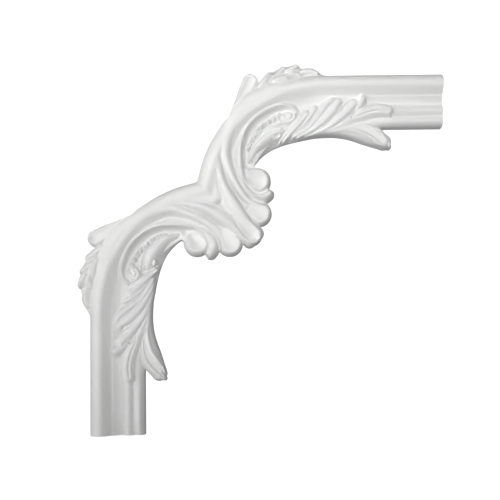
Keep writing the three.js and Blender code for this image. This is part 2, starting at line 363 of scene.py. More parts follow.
def cut_outline(relief: ReliefField, lines: int) -> Outline:
    """Cuts the casting's plan out of the grid, cell by cell.

    Args:
        relief: The carved relief, with its insets.
        lines: How many grid lines to use each way, from the first.

    Returns:
        The plan, with its points in the order of the grid and then of the outline.
    """
    inset, height = relief.inset[:lines, :lines], relief.height[:lines, :lines]
    inside = inset > 0
    number = np.full(inside.shape, -1)
    number[inside] = np.arange(inside.sum())
    places = [*zip(relief.along[:lines, :lines][inside], relief.down[:lines, :lines][inside])]
    covered = [inside[:-1, :-1], inside[1:, :-1], inside[1:, 1:], inside[:-1, 1:]]
    corners = [number[:-1, :-1], number[1:, :-1], number[1:, 1:], number[:-1, 1:]]
    full = np.logical_and.reduce(covered)
    a, b, c, d = (corner[full] for corner in corners)
    level = np.abs(height[:-1, :-1] - height[1:, 1:]) <= np.abs(height[1:, :-1] - height[:-1, 1:])
    one_way = level[full][:, None]
    faces = [*np.where(one_way, np.stack([a, b, c], 1), np.stack([a, b, d], 1))]
    faces += [*np.where(one_way, np.stack([a, c, d], 1), np.stack([b, c, d], 1))]
    crossings: dict[tuple[tuple[int, int], tuple[int, int]], int] = {}
    runs = []

    def crossing(here: tuple[int, int], there: tuple[int, int]) -> int:
        """Gives the number of the outline's point between two grid places.

        Args:
            here: The row and column of one place.
            there: The row and column of the other.

        Returns:
            The point's number, the same for the two places in either order.
        """
        key = (min(here, there), max(here, there))
        if key not in crossings:
            low, high = inset[key[0]], inset[key[1]]
            part = min(max(low / (low - high), SLIVER), 1 - SLIVER)
            row, column = (key[0][axis] + part * (key[1][axis] - key[0][axis]) for axis in (0, 1))
            crossings[key] = len(places)
            places.append((relief.start + column * relief.spacing,
                           relief.start + row * relief.spacing))
        return crossings[key]

    partly = np.logical_or.reduce(covered) & ~full
    for row, column in zip(*map(np.ndarray.tolist, np.nonzero(partly))):
        ring = [(row, column), (row + 1, column), (row + 1, column + 1), (row, column + 1)]
        shape = []
        for here, there in zip(ring, ring[1:] + ring[:1]):
            if inside[here]:
                shape.append((number[here], False))
            if inside[here] != inside[there]:
                shape.append((crossing(here, there), True))
        first = shape[0][0]
        faces += [np.array([first, one, other]) for (one, _), (other, _) in zip(shape[1:], shape[2:])]
        runs += [(one, other) for (one, cut), (other, cut_too) in zip(shape, shape[1:] + shape[:1])
                 if cut and cut_too]
    on_rim = np.arange(len(places)) >= inside.sum()
    return Outline(np.array(places), on_rim, np.array(faces), np.array(runs))


@dataclass(frozen=True)
class EdgeWall:
    """The rounded, drafted wall that the casting has all round its outline.

    Attributes:
        run: How far in from the outline the wall reaches its full height, in modules.
        foot: Its height at the outline, in steps.
        top: The height it would reach, in steps.
        roundness: The power of its curve.
    """

    run: float = 3.6
    foot: float = 2.0
    top: float = 21.5
    roundness: float = 2.6

    def height(self, inset: np.ndarray) -> np.ndarray:
        """Gives the wall's height at distances in from the outline."""
        left = 1 - np.clip(inset / self.run, 0, 1)
        return self.foot + (self.top - self.foot) * (1 - left ** self.roundness)

    def distances(self, relief: ReliefField, outline: Outline) -> np.ndarray:
        """Measures how far each place of the grid lies from the outline, up to the wall's run.

        Args:
            relief: The relief whose grid is measured.
            outline: The plan whose outline it is measured from.

        Returns:
            The distances.
        """
        nearest = np.full(relief.height.shape, self.run)
        for start, end in outline.places[outline.runs]:
            window = relief.window(np.stack([start, end]), self.run)
            off_x, off_y = relief.along[window] - start[0], relief.down[window] - start[1]
            run_x, run_y = end - start
            length_squared = max(run_x ** 2 + run_y ** 2, 1e-9)
            part = np.clip((off_x * run_x + off_y * run_y) / length_squared, 0, 1)
            distance = np.hypot(off_x - part * run_x, off_y - part * run_y)
            nearest[window] = np.minimum(nearest[window], distance)
        return nearest


@dataclass(frozen=True)
class PlainMoulding:
    """The straight arm, its bend and the run to the mitre, with the section that they carry.

    Attributes:
        width: The arm's width.
        bend_width: The width in the bend.
        arm_end: Where the arm is cut square.
        bend_centre: The centre of the bend.
        bend_radius: The radius of the bend's outer edge.
        bend_sweep: How far the bend turns.
        change_run: The stretch over which the arm's section becomes the bend's.
        arm_section: Distances from the outer edge, with the height there on the arm.
        bend_section: The same in the bend.
        mitre_lap: How far the half reaches over the diagonal.
    """

    width: float = 54.0
    bend_width: float = 50.0
    arm_end: float = 354.3
    bend_centre: Plan = (232.7, 127.5)
    bend_radius: float = 127.5
    bend_sweep: float = math.radians(75)
    change_run: float = 44.0
    arm_section: Route = (
        (0, 8.5), (0.6, 10.6), (1.5, 12.9), (3, 15.4), (5, 17.6), (8, 19.5), (11, 20), (14, 19.3),
        (17, 17.4), (20, 14.9), (22.3, 13.0), (22.8, 13.3), (23.6, 13.1), (26, 11.5), (29, 10.2),
        (31.2, 9.8), (31.8, 10.2), (33.5, 12.0), (36, 13.5), (38.4, 13.8), (40.6, 13.0),
        (42.2, 11.4), (43, 10.9), (43.8, 11.4), (45.5, 12.5), (47.5, 12.9), (49.5, 12.5),
        (51.5, 10.9), (53, 8.6), (54, 5.8),
    )
    bend_section: Route = (
        (0, 8.5), (0.6, 10.6), (1.5, 12.9), (3, 15.4), (5, 17.6), (8, 19.5), (11, 20.2), (14, 19.7),
        (17, 18.0), (20, 15.8), (23, 13.6), (26, 12.0), (29, 11.0), (33, 10.4), (38, 10.0),
        (44, 9.4), (50, 8.4), (54, 7),
    )
    mitre_lap: float = 2.0

    def carve(self, relief: ReliefField) -> None:
        """Lays the plain moulding as the ground of one half.

        Args:
            relief: The relief that carries it.
        """
        along, down = relief.along, relief.down
        from_centre = (self.bend_centre[0] - along, self.bend_centre[1] - down)
        outward = (-math.sin(self.bend_sweep), -math.cos(self.bend_sweep))
        turned = np.arctan2(*from_centre)
        in_turn = self.bend_radius - np.hypot(*from_centre)
        past_bend = self.bend_radius + sum(side * away for side, away in zip(outward, from_centre))
        inward = np.where(turned <= self.bend_sweep, in_turn, past_bend)
        inward = np.where(along >= self.bend_centre[0], down, inward)
        over_diagonal = along - down + self.mitre_lap
        share = np.clip((along - self.bend_centre[0]) / self.change_run + 0.5, 0, 1)
        share = share * share * (3 - 2 * share)
        on_arm = np.interp(inward, *zip(*self.arm_section))
        in_bend = np.interp(inward, *zip(*self.bend_section))
        width = self.bend_width + (self.width - self.bend_width) * share
        inside = np.minimum(np.minimum(inward, width - inward), over_diagonal)
        height = in_bend + (on_arm - in_bend) * share
        height -= relief.skirt_slope * np.maximum(-inside, 0)
        relief.height = np.maximum(relief.height, height)
        relief.inset = np.maximum(relief.inset, inside)


@dataclass(frozen=True)
class ShellFolds:
    """The folds that run from the bend into the cusp, with the body beneath them.

    Attributes:
        body: The body that the folds lie on.
        crest_band: The band that carries on the moulding's crest.
        broad_fold: The broad fold beside the band.
        narrow_fold: The narrow fold along the diagonal.
        mitre_ground: The ground between the folds and the mitre.
        mitre_groove: The groove beside the mitre.
    """

    body: Stroke = Stroke(
        ((156, 74), (156, 92), (158, 109), (160, 123), (161, 137), (159, 148), (155, 153)),
        width=(6, 8, 11, 12, 12, 11, 10), crest=(9, 9.5, 10), edge=(8,), stands=True,
    )
    crest_band: Stroke = Stroke(
        (
            (208, 15), (189, 17.5), (171, 23.5), (156.5, 33), (145.5, 45), (138.5, 59), (135.6, 72),
            (135.8, 84), (139, 95), (143.5, 106), (149.2, 115.5), (156, 123.5), (164, 129.5),
            (173, 133),
        ),
        width=(7, 7, 6.6, 6.2, 6, 6, 6, 5, 4, 4, 4, 4, 3.6, 2),
        crest=(19.6, 20, 20.3, 20.4, 20.5, 20.5, 20.4, 20.2, 19.8, 19, 18, 17, 15.8, 14.2),
        edge=(14, 15, 16, 17, 18, 18.5, 18.5, 18, 17, 16, 15, 14, 12.5, 11), fullness=2.2,
        blend=1.2, right_width=(8, 8.5, 9, 9, 9, 9, 8.4, 7.6, 6.6, 5.6, 5.2, 4.8, 4, 2),
        right_edge=(16, 16, 16, 15.6, 15.4, 15.2, 15, 15, 15, 14.6, 13.6, 12.4, 11, 10),
    )
    broad_fold: Stroke = Stroke(
        (
            (127.5, 88), (130, 100), (134, 112), (139, 122), (146, 133), (153, 143), (160, 151),
            (165.5, 156),
        ),
        width=(3, 3.4, 3.6, 3.8, 4, 4, 3.6, 2.6), crest=(19, 19.8, 19.8, 19.2, 18.2, 17, 15.6, 14),
        edge=(18.8, 17.6, 16.6, 16, 15, 14, 12.5, 11), blend=1.2,
        right_width=(4, 5, 6, 6.6, 7, 6.6, 5, 2.6),
        right_edge=(18.8, 18.2, 17.4, 16.4, 15.2, 13.8, 12, 11),
    )
    narrow_fold: Stroke = Stroke(
        ((128.5, 108), (131.5, 120), (137, 131), (144, 140), (152, 148.5), (159, 155)),
        width=(1.4, 2.2, 2.8, 3, 2.8, 2), crest=(17, 17.4, 17, 16.2, 15, 13.4),
        edge=(17, 16.4, 15.6, 14.8, 13.6, 12.2), section=Section.WAVE, blend=1.2,
    )
    mitre_ground: Stroke = Stroke(
        ((127, 78), (125, 90), (123.6, 104), (124.4, 121)), width=(1.5, 5, 7.6, 7.6),
        crest=(19, 18.8, 18.4, 17.6), edge=(18, 16, 15, 15), fullness=4, blend=2,
    )
    mitre_groove: Hollow = Hollow(
        ((127, 96), (128.4, 110), (131.4, 123), (136.6, 134), (143.6, 143), (151, 150.4)),
        (1.2, 2, 2.4, 2.2, 2, 1.4), (18.4, 17, 15.6, 14.4, 13, 12),
    )

    def carve(self, relief: ReliefField) -> None:
        """Lays the folds and sinks the groove beside the mitre.

        Args:
            relief: The relief that carries them.
        """
        for form in (self.body, self.mitre_ground, self.crest_band, self.broad_fold, self.narrow_fold):
            relief.add(form)
        relief.sink(self.mitre_groove)


@dataclass(frozen=True)
class CuspLobes:
    """The lobes along the cusp, from the inner notch to the leaf on the diagonal.

    Attributes:
        middle_leaf: The leaf on the diagonal, with its tip and its rim.
        leaf_hollow: The hollow along that leaf.
        third: The lobe beside the leaf.
        third_dish: Its dish, with the valley that runs into it.
        first: The lobe at the inner notch.
        first_dish: Its dish.
        second: The narrow lobe between the two.
        upper_groove: The groove between the first lobe and the second.
        lower_groove: The groove between the second lobe and the third.
    """

    middle_leaf: tuple[Stroke, ...] = (
        Stroke(
            ((146, 146), (154, 154), (161, 161)), width=(9, 9.5, 10), crest=(15, 14.2, 13),
            edge=(9,), fullness=5, stands=True,
        ),
        Stroke(
            ((166.5, 158.4), (162.4, 162.4)), width=(6.6, 7.8), crest=(12.6, 12.4), edge=(6,),
            fullness=4, stands=True,
        ),
        Stroke(
            ((160, 150), (165.4, 155.2), (168, 159.6), (167.2, 164), (163.8, 168)),
            width=(2.2, 2.6, 2.8, 2.8, 2.8), crest=(15.2, 14.8, 14.6, 14.4, 14.2),
            edge=(11, 11, 10.5, 10), blend=1.4,
        ),
    )
    leaf_hollow: Hollow = Hollow(
        ((146, 143), (153, 150), (158, 156), (161.4, 160.6)), (2, 4.4, 6, 6.8),
        (15.6, 14, 12.8, 12),
    )
    third: Stroke = Stroke(
        ((162, 137), (168.4, 138.9)), width=(9, 12.9), crest=(12.4, 14.8), edge=(8, 6), fullness=6,
        stands=True,
    )
    third_dish: Hollow = Hollow(
        (
            (132, 88), (136, 100), (142.2, 111.6), (150.2, 121.6), (158.4, 130.2), (165, 136.6),
            (169.6, 140),
        ),
        (2, 3.4, 4.6, 5.6, 7.4, 9.2, 9.6), (19.9, 18.9, 17.6, 16.2, 14, 12.2, 12),
    )
    first: Stroke = Stroke(
        ((166.6, 105.8), (167.6, 106.2)), width=(13.4,), crest=(14, 14.8), edge=(6,), fullness=6,
        stands=True,
    )
    first_dish: Hollow = Hollow(
        ((161, 102), (164.4, 105.4), (166.6, 107)), (7, 9, 9.8), (9.4, 9.6, 10.2),
    )
    second: Stroke = Stroke(
        ((149.4, 104), (154, 112), (160, 118.4), (167, 122.2), (174, 121.8), (177.6, 119.6)),
        width=(1.6, 2.6, 3.8, 5, 6, 5.6), crest=(16, 15.8, 15.4, 15, 14.6, 14.4),
        edge=(13, 11.5, 10, 8, 6, 5), fullness=2.6, right_width=(1.6, 2.6, 3.8, 5, 6.8, 6.6),
        stands=True,
    )
    upper_groove: Hollow = Hollow(
        ((151.6, 101), (156.6, 110.6), (163, 117), (169, 119), (175.4, 117)),
        (1.6, 2.2, 2.8, 3, 2.2), (15.8, 12.4, 10, 9, 9),
    )
    lower_groove: Hollow = Hollow(
        ((142.6, 82), (146, 97), (150.4, 108.6), (156, 118), (163, 125), (171, 128.4), (178, 129)),
        (2, 2.6, 2.8, 3, 3, 2.8, 2.6), (15.4, 15, 14.2, 12.8, 11.2, 9.6, 8),
    )

    def carve(self, relief: ReliefField) -> None:
        """Lays the lobes and sinks the dishes, each with the valley that runs into it.

        Args:
            relief: The relief that carries them.
        """
        for form in self.middle_leaf:
            relief.add(form)
        relief.sink(self.leaf_hollow)
        relief.add(self.third)
        relief.sink(self.third_dish)
        relief.add(self.second)
        relief.add(self.first)
        relief.sink(self.first_dish)
        relief.sink(self.upper_groove)
        relief.sink(self.lower_groove)


@dataclass(frozen=True)
class Scroll:
    """The scroll band with its curl, the throat inside it, the beads and the curled leaf under it.

    Attributes:
        band: The band from the cusp to the curl.
        throat: The hollow inside the band.
        pocket: The hollow between the curl and the leaves along the arm.
        curl: The middle of the curl at the band's end.
        curl_end: The band's last turn round it.
        curl_eye: The eye of the curl.
        curled_leaf: The leaf along the inner edge.
        eye_ring: The ring at that leaf's end.
        leaf_eye: The eye in the ring.
        fillets: The thin fillets in the throat.
        bead_run: Points that the row of beads runs through.
        bead_radius: The radius of the largest bead.
        bead_shrink: The size of each bead as a share of the one before.
        bead_count: How many beads there are.
        bead_cover: The half width of a bead's form, as a share of its radius.
        bead_ground: The height that the beads rise from.
        bead_rise: How far a bead stands above it, as a share of its radius.
        bead_edge: The height of a bead's edge.
        bead_length: The length of the run that a bead's form follows.
    """

    band: Stroke = Stroke(
        (
            (157.4, 112), (153.2, 104), (150.8, 95), (150, 85), (150.4, 75), (152.4, 65),
            (156.4, 55.6), (162, 47.4), (169, 40.6), (177.4, 35.6), (187, 32.4), (196, 31.8),
            (203, 34), (206.6, 39.4), (205.8, 45.4), (201, 49.4),
        ),
        width=(3, 4, 5, 5.6, 6.4, 7, 7.6, 7.8, 7.8, 7.4, 6.8, 6.4, 5.8, 5, 4.4, 3),
        crest=(
            15.6, 16.2, 16.8, 17.1, 17.3, 17.4, 17.4, 17.3, 17.2, 17, 16.8, 16.6, 16.4, 16, 15.4,
            14.6,
        ),
        edge=(13, 13.6, 14, 14, 13.6, 13, 12.6, 12, 12, 12, 11.6, 11, 10.4, 10, 10, 10),
        section=Section.WAVE,
        right_width=(2.4, 3, 4.4, 6, 7, 7.6, 8, 8.4, 8.4, 8, 7.4, 6.4, 5, 4, 3.4, 3),
        right_edge=(9, 9, 9, 9, 9, 9, 9, 9.4, 9.6, 10, 10, 10, 10, 10, 10, 10), blend=1.0,
    )
    throat: Hollow = Hollow(
        (
            (203.4, 40), (200, 38), (193.6, 38.4), (186.4, 40.6), (178.6, 45), (170.6, 51.6),
            (164.4, 59.6), (160.4, 69), (159, 79), (159.6, 88), (162, 94),
        ),
        (2, 3.4, 5, 6.4, 7.4, 8, 8.4, 8.4, 8, 7.6, 5),
        (12, 10.4, 9, 8, 7.4, 7, 6.6, 6, 5.6, 5.4, 6),
    )
    pocket: Hollow = Hollow(
        ((208.6, 41), (206, 48), (200.6, 52.6)), (3, 5, 6), (10.4, 9.6, 9.4), bluntness=3,
    )
    curl: Stroke = Stroke(
        ((198, 43.4), (199, 43.4)), width=(6.4,), crest=(16.2,), edge=(10.5,), fullness=2.4,
        blend=0.8,
    )
    curl_end: Stroke = Stroke(
        ((204.6, 42), (203.4, 46.4), (198.6, 48.6), (193.6, 46.4), (192.8, 42)),
        width=(2.4, 2.6, 2.6, 2.2, 1.6), crest=(15.8, 15.8, 15.6, 15.4, 15), edge=(11,), blend=0.6,
    )
    curl_eye: Hollow = Hollow(((196, 41.6), (197.4, 42.6)), (1.8,), (12.6,), bluntness=1.8)
    curled_leaf: Stroke = Stroke(
        ((160.4, 84), (163.4, 76), (168.6, 69), (175.4, 63), (183, 58.8), (190, 57)),
        width=(1.2, 2, 2.4, 2.8, 3, 3), crest=(10, 12.4, 13.8, 14.4, 14.6, 14.4),
        edge=(8, 9, 9, 9, 9, 10), right_width=(5, 8, 10.4, 11.6, 11, 9), right_edge=(3,),
    )
    eye_ring: Stroke = Stroke(
        ((185.6, 62.2), (188, 62)), width=(4.8,), crest=(14.6,), edge=(9,), fullness=2.6, blend=1.2,
    )
    leaf_eye: Hollow = Hollow(((185.6, 62.6), (188.2, 62)), (1.9,), (10.6,), bluntness=2.4)
    fillets: tuple[Stroke, ...] = (
        Stroke(
            (
                (194.6, 50), (186.4, 51.4), (178.4, 55), (170.6, 61.4), (164.4, 70), (160.6, 79),
                (158.6, 87),
            ),
            width=(1.2, 1.5, 1.5, 1.4, 1.3, 1.1, 0.9), crest=(13, 13.2, 13, 12.6, 12, 10.8, 9),
            edge=(9, 9, 9, 9, 9, 8, 7.6), blend=0.4,
        ),
        Stroke(
            ((193, 53.4), (185, 54.6), (177.4, 58.4), (170, 64.8), (164.4, 73), (161, 81.6)),
            width=(0.9, 1.2, 1.2, 1.1, 1, 0.8), crest=(13.2, 13.4, 13.2, 12.8, 12, 10.4),
            edge=(10, 10, 10, 9.6, 9, 8), blend=0.4,
        ),
    )
    bead_run: Route = (
        (189.6, 41.8), (179.4, 47.4), (171, 54), (165.8, 61), (162, 67.5), (158.8, 74.4),
    )
    bead_radius: float = 3.15
    bead_shrink: float = 0.93
    bead_count: int = 12
    bead_cover: float = 1.06
    bead_ground: float = 10.6
    bead_rise: float = 1.5
    bead_edge: float = 8.6
    bead_length: float = 0.1

    def beads(self) -> Iterator[Stroke]:
        """Works out the row of beads, each smaller than the last and touching it.

        Returns:
            The beads, from the largest by the curl to the smallest.
        """
        run = smooth_curve(self.bead_run)
        travelled = np.concatenate([[0.0], np.cumsum(np.hypot(*np.diff(run, axis=0).T))])
        radius, reached = self.bead_radius, 0.0
        for _ in range(self.bead_count):
            x, y = (np.interp(reached, travelled, run[:, axis]) for axis in (0, 1))
            yield Stroke(((x - self.bead_length / 2, y), (x + self.bead_length / 2, y)),
                         width=(self.bead_cover * radius,),
                         crest=(self.bead_ground + self.bead_rise * radius,),
                         edge=(self.bead_edge,), fullness=2.6, blend=0.2)
            reached += radius * (1 + self.bead_shrink)
            radius *= self.bead_shrink

    def carve(self, relief: ReliefField) -> None:
        """Lays the scroll, hollows it and sets the beads in it.

        Args:
            relief: The relief that carries it.
        """
        relief.add(self.band)
        relief.sink(self.pocket)
        relief.sink(self.throat)
        relief.add(self.curl)
        relief.add(self.curl_end)
        relief.sink(self.curl_eye)
        relief.add(self.curled_leaf)
        relief.add(self.eye_ring)
        relief.sink(self.leaf_eye)
        for form in (*self.fillets, *self.beads()):
            relief.add(form)


@dataclass(frozen=True)
class OuterLeaves:
    """The spoon-shaped lobe and the small leaves on the outer edge.

    Attributes:
        spoon: The spoon-shaped lobe.
        body: The body that the small leaves lie on.
        small: The small leaves.
    """

    spoon: Stroke = Stroke(
        ((138.5, 47), (143.5, 38), (149, 29.5), (154, 20.5), (158.5, 12), (161.5, 6)),
        width=(1.5, 3.2, 5, 6.6, 7.9, 8.5), crest=(19, 18.6, 17.6, 16.2, 15, 14.4),
        edge=(12, 10, 9, 8, 7, 6), section=Section.DISH, hollow=0.18, rim=0.62, stands=True,
        blend=2,
    )
    body: Stroke = Stroke(
        (
            (164, 22), (170, 16), (178, 7), (187, 0.5), (196, -3.5), (205, -4.5), (214, -3.5),
            (224, -1.5), (234, 2),
        ),
        width=(6, 5.5, 6.5, 6.3, 6, 6.3, 5, 5.5, 4), crest=(9.4,), edge=(7,), fullness=4,
        stands=True, right_width=(8, 8, 10, 11, 11, 10, 8, 7, 5),
    )
    small: tuple[Stroke, ...] = (
        Stroke(
            ((212, -2), (217, -3.2), (223, -3), (228, -1.4)), width=(3.6, 4.6, 5, 4),
            crest=(13.6, 14.4, 14.2, 13.2), edge=(9, 8.4, 8), stands=True, fullness=2.4,
        ),
        Stroke(
            ((199, -4.4), (203.5, -6.8), (208, -8.5)), width=(3, 4.2, 4), crest=(13.8, 14, 13.6),
            edge=(9, 8, 7), stands=True, fullness=2.4,
        ),
        Stroke(
            ((199, 1), (204, 0), (209.6, 0.8)), width=(3, 3.8, 3.8), crest=(16, 16.2, 15.6),
            edge=(11, 11, 12), fullness=2.4,
        ),
        Stroke(
            ((186.4, 2.4), (190.6, -2.4), (194.6, -6.8)), width=(3.4, 4.4, 3.6),
            crest=(14.6, 14.4, 13.8), edge=(9, 8, 8), stands=True, fullness=2.4,
        ),
        Stroke(
            ((184.6, 7.8), (190, 5.6), (196.4, 4.8)), width=(3.4, 4.4, 4.4),
            crest=(18.4, 18.4, 17.8), edge=(14, 13, 13), fullness=2.4,
        ),
        Stroke(
            ((171.6, 13.2), (176.4, 6.4), (181, -1)), width=(3.6, 5, 3.8), crest=(16.8, 16, 14.6),
            edge=(12, 9, 8), stands=True, fullness=2.4,
        ),
    )

    def carve(self, relief: ReliefField) -> None:
        """Lays the leaves and the spoon-shaped lobe.

        Args:
            relief: The relief that carries them.
        """
        for form in (self.body, *self.small, self.spoon):
            relief.add(form)


@dataclass(frozen=True)
class ArmSpray:
    """The spray of leaves that fans out along the arm, with one large leaf past the inner edge.

    Attributes:
        inner_rim: The rim along the inner edge, from which the leaves spring.
        strands: The leaves on the arm.
        pits: Small pits between the leaves' tips.
        veins: Veins along the broader leaves.
        large_leaf: The large leaf, its tip and its two folds.
    """

    inner_rim: Stroke = Stroke(
        (
            (161, 87.5), (165, 80.4), (170.6, 74), (177.2, 69), (184.6, 65), (192.6, 61.8),
            (201, 59.4), (211, 57.4), (221.4, 56), (232, 55), (242, 54.4),
        ),
        width=(3.4, 4.2, 5.4, 6.6, 7.4, 7.6, 7.6, 7.4, 6.8, 6.4, 6.4),
        right_width=(4.4, 5.9, 6.6, 7, 7.4, 7.6, 7.6, 7.4, 6.8, 6.4, 6.4),
        crest=(5, 6.4, 8, 9, 10, 11.4, 12, 12.2, 12.2, 12.2, 12), edge=(3,), fullness=1.3,
        stands=True, blend=2,
    )
    strands: tuple[Stroke, ...] = (
        Stroke(
            ((256, 46), (263, 39), (269, 32), (273.4, 25.6)), width=(1.5, 4, 5.4, 4.8),
            crest=(12, 14.8, 16.8, 17.8), edge=(11, 11.5, 12, 12.5), fullness=2.8,
        ),
        Stroke(
            ((203, 62), (212, 53), (220, 43.6), (225.4, 35)), width=(1.4, 2.8, 3.2, 3),
            crest=(11.5, 13.8, 15.6, 16.4), edge=(9, 10, 11, 12), fullness=2.8,
        ),
        Stroke(
            ((190, 68), (198, 58), (205, 49.6), (210.6, 42.6)), width=(1, 1.8, 2.4, 2),
            crest=(10.5, 13, 14.6, 15), edge=(8, 9, 10, 11), fullness=2.8,
        ),
        Stroke(
            ((194, 67), (203, 57), (211, 48), (217.2, 40.6)), width=(1.2, 2.8, 3.8, 3.8),
            crest=(11, 14, 16, 16.8), edge=(9, 10, 11, 12), fullness=2.8,
        ),
        Stroke(
            ((203, 63.5), (215, 57), (224, 49), (231, 40), (237, 31.5), (244, 27)),
            width=(1, 2.2, 3, 3.4, 3.8, 3.4), crest=(11.5, 14, 15.6, 16.8, 17.4, 17.2),
            edge=(9, 10.5, 12, 13, 13, 13), fullness=2.8,
        ),
        Stroke(
            ((208, 63.5), (221, 57.5), (231, 50), (239, 42), (245, 34.5), (249, 29)),
            width=(1, 2.6, 4, 5, 5.4, 4.4), crest=(11.5, 14.2, 16.2, 17.2, 17.6, 17.4),
            edge=(9, 10.5, 12, 12.5, 13, 13), fullness=2.8,
        ),
        Stroke(
            ((216, 63), (229, 58.5), (241, 52), (251, 44), (258.5, 36.5), (264, 31)),
            width=(1, 2.4, 3.6, 4.8, 5.8, 6), crest=(11.5, 14, 15.8, 16.8, 17.6, 17.6),
            edge=(9, 10.5, 12, 12.5, 12.5, 12.5), fullness=3,
        ),
        Stroke(
            ((228, 61.5), (245, 57), (259, 51), (271, 46.2), (283, 43.2), (293, 42.4), (301, 43)),
            width=(0.8, 1.4, 2, 2.4, 2.6, 2.6, 2), crest=(11.2, 13.2, 14.2, 14.8, 15, 15, 14.8),
            edge=(9, 10, 11, 11.5), fullness=3,
        ),
        Stroke(
            ((222, 62), (240, 57), (254, 50.6), (266, 44), (277, 39.6), (288, 37.4), (298, 38.4)),
            width=(1, 1.8, 2.6, 4, 5.8, 6.4, 5.6), crest=(11.5, 14, 15.2, 16.2, 17.2, 17.6, 17.4),
            edge=(9, 10, 11, 12.6, 14), fullness=3,
        ),
    )
    pits: tuple[Hollow, ...] = (
        Hollow(((250, 34), (248.6, 38.4)), (2, 1.4), (12, 12.6), bluntness=1.8),
        Hollow(((264.6, 40), (262, 45)), (2, 1.4), (12, 12.6), bluntness=1.8),
    )
    veins: tuple[Hollow, ...] = (
        Hollow(((258.6, 28.5), (254.4, 38)), (1, 1.4, 1), (15.4, 15.4, 15.8), bluntness=1.6),
        Hollow(((267, 33.6), (259, 45)), (1, 1.4, 1), (15.4, 15.4, 15.8), bluntness=1.6),
        Hollow(
            ((264, 46), (276, 41.4), (288, 38.8), (299, 39.4)), (1, 1.4, 1), (15.4, 15.4, 15.8),
            bluntness=1.6,
        ),
    )
    large_leaf: tuple[Stroke, ...] = (
        Stroke(
            (
                (218, 60), (238, 57.6), (254, 56.8), (266, 58), (276, 60.4), (286, 63.4),
                (295.2, 67.4),
            ),
            width=(3, 3.6, 4.6, 6.6, 9.2, 11.4, 7.8),
            crest=(11, 12.4, 13.2, 13.6, 13.6, 13.2, 12.8), edge=(5, 5, 6, 7, 7, 6, 5), fullness=4,
            stands=True, right_width=(3, 3.6, 4.6, 6.4, 8.2, 9, 8),
        ),
        Stroke(
            ((297, 69), (300.4, 73)), width=(4.6, 2.4), crest=(12.8, 12.4), edge=(6, 5), fullness=4,
            stands=True,
        ),
        Stroke(
            (
                (236, 60), (245, 58), (255, 57), (263, 58), (271, 60), (278, 63.5), (286, 69),
                (292, 74),
            ),
            width=(1.2, 2, 2.6, 3, 3, 2.8, 2.4, 1.4),
            crest=(12.4, 14.4, 15.6, 16, 16, 15.6, 15, 13.8), edge=(10.5, 11.5, 12.5, 12.5),
            fullness=1.8, blend=1,
        ),
        Stroke(
            ((258, 54), (266, 52.4), (276, 53), (285, 56.4), (292, 62), (297, 69)),
            width=(1, 2, 2.6, 3, 3, 1.6), crest=(13.4, 14.8, 15.2, 15.2, 15, 14),
            edge=(11, 12, 12.5, 12.5), fullness=1.8, blend=1,
        ),
    )

    def carve(self, relief: ReliefField) -> None:
        """Lays the rim and the leaves, then cuts the pits and the veins.

        Args:
            relief: The relief that carries them.
        """
        for form in (self.inner_rim, *self.strands, *self.large_leaf):
            relief.add(form)
        for hollow in (*self.pits, *self.veins):
            relief.sink(hollow)


# Mesh of the casting


